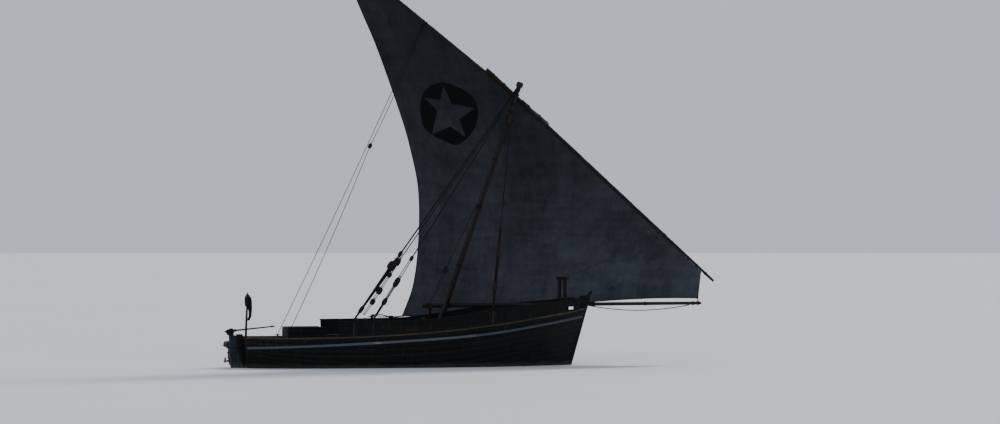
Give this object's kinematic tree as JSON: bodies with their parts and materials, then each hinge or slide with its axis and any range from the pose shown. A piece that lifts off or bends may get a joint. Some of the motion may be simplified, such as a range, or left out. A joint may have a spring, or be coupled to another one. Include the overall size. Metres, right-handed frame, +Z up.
{
  "type": "wooden dhow sailing boat",
  "caption": "Wooden cargo dhow with a transom stern, forward-raked mast, long lashed yard and settee sail, rudder with tiller and a small outboard motor.",
  "frame": {"origin": "amidships on the centreline at the level of the water the boat floats in", "axes": "+X towards the bow, +Y to port, +Z up"},
  "size_m": [20.1616, 5.1849, 18.2096],
  "materials": {
    "tarred_planking": "tarred and painted planks, worn",
    "backbone_timber": "tarred heavy timber",
    "inner_timber": "oiled rough-sawn timber",
    "deck_boards": "weathered boards",
    "rail_wood": "bare worn wood",
    "pale_stripe_paint": "pale paint on wood, scuffed",
    "spar_wood": "oiled round pole",
    "sailcloth": "weathered cotton canvas",
    "rope": "laid coir rope",
    "flag_cloth": "limp cotton",
    "rudder_paint": "blue-grey paint on wood, worn",
    "iron_fittings": "rusted iron",
    "motor_paint": "dark satin paint"
  },
  "bodies": {
    "hull": {"bottom_planking_port": "tarred_planking", "bottom_planking_starboard": "tarred_planking", "topside_planking_port": "tarred_planking", "topside_planking_starboard": "tarred_planking", "transom": "tarred_planking", "keel": "backbone_timber", "stem_post": "backbone_timber", "stern_post": "backbone_timber", "keelson_and_floors": "inner_timber", "ribs_port": "inner_timber", "ribs_starboard": "inner_timber", "mast": "spar_wood", "mast_step": "inner_timber", "hold_beams": "inner_timber", "mast_thwart": "inner_timber", "fore_deck": "deck_boards", "stern_deck": "deck_boards", "hold_floor": "deck_boards", "rail_cap_port": "rail_wood", "rail_cap_starboard": "rail_wood", "wash_strake_port": "tarred_planking", "wash_strake_starboard": "tarred_planking", "sheer_stripe_port": "pale_stripe_paint", "sheer_stripe_starboard": "pale_stripe_paint", "deck_locker": "deck_boards", "breasthook": "inner_timber", "bowsprit": "spar_wood", "bowsprit_chock": "inner_timber", "bowsprit_crutch": "inner_timber", "bow_gallows": "inner_timber", "aft_stay_pendant": "rope", "aft_stay_tackle": "rope", "middle_stay_pendant": "rope", "middle_stay_tackle": "rope", "fore_shroud_pendant": "rope", "fore_shroud_tackle": "rope", "stern_staff": "spar_wood", "stern_flag": "flag_cloth", "lower_gudgeon": "iron_fittings", "upper_gudgeon": "iron_fittings", "motor_bracket": "iron_fittings"},
    "rig": {"yard_lower_spar": "spar_wood", "yard_upper_spar": "spar_wood", "parrel": "rope", "sail": "sailcloth"},
    "locker_lid": {"deck_locker_lid": "deck_boards"},
    "rudder": {"rudder_blade": "rudder_paint", "rudder_head": "backbone_timber", "tiller": "spar_wood"},
    "swivel": {"motor_swivel": "iron_fittings"},
    "motor": {"motor_leg": "motor_paint", "motor_cowl": "motor_paint"},
    "propeller": {"motor_propeller": "motor_paint"}
  },
  "joints": [
    {"name": "yard_slew", "type": "hinge", "parent": "hull", "child": "rig", "pos_m": [0.12, 0, -0.79], "axis": [0.3275, 0, 0.9449], "range_deg": [-10, 10]},
    {"name": "lid_hinge", "type": "hinge", "parent": "hull", "child": "locker_lid", "pos_m": [-5.275, 0, 1.5663], "axis": [0, -1, 0], "range_deg": [0, 100]},
    {"name": "rudder_swing", "type": "hinge", "parent": "hull", "child": "rudder", "pos_m": [-7.07, 0, 0], "axis": [-0.1638, 0, 0.9865], "range_deg": [-35, 35]},
    {"name": "motor_tilt", "type": "hinge", "parent": "hull", "child": "swivel", "pos_m": [-7.105, 0.64, 0.73], "axis": [0, 1, 0], "range_deg": [0, 35]},
    {"name": "motor_steer", "type": "hinge", "parent": "swivel", "child": "motor", "pos_m": [-7.255, 0.64, 0.63], "axis": [0, 0, 1], "range_deg": [-35, 35]},
    {"name": "propeller_spin", "type": "hinge", "parent": "motor", "child": "propeller", "pos_m": [-7.56, 0.64, 0.25], "axis": [1, 0, 0], "continuous": true}
  ]
}
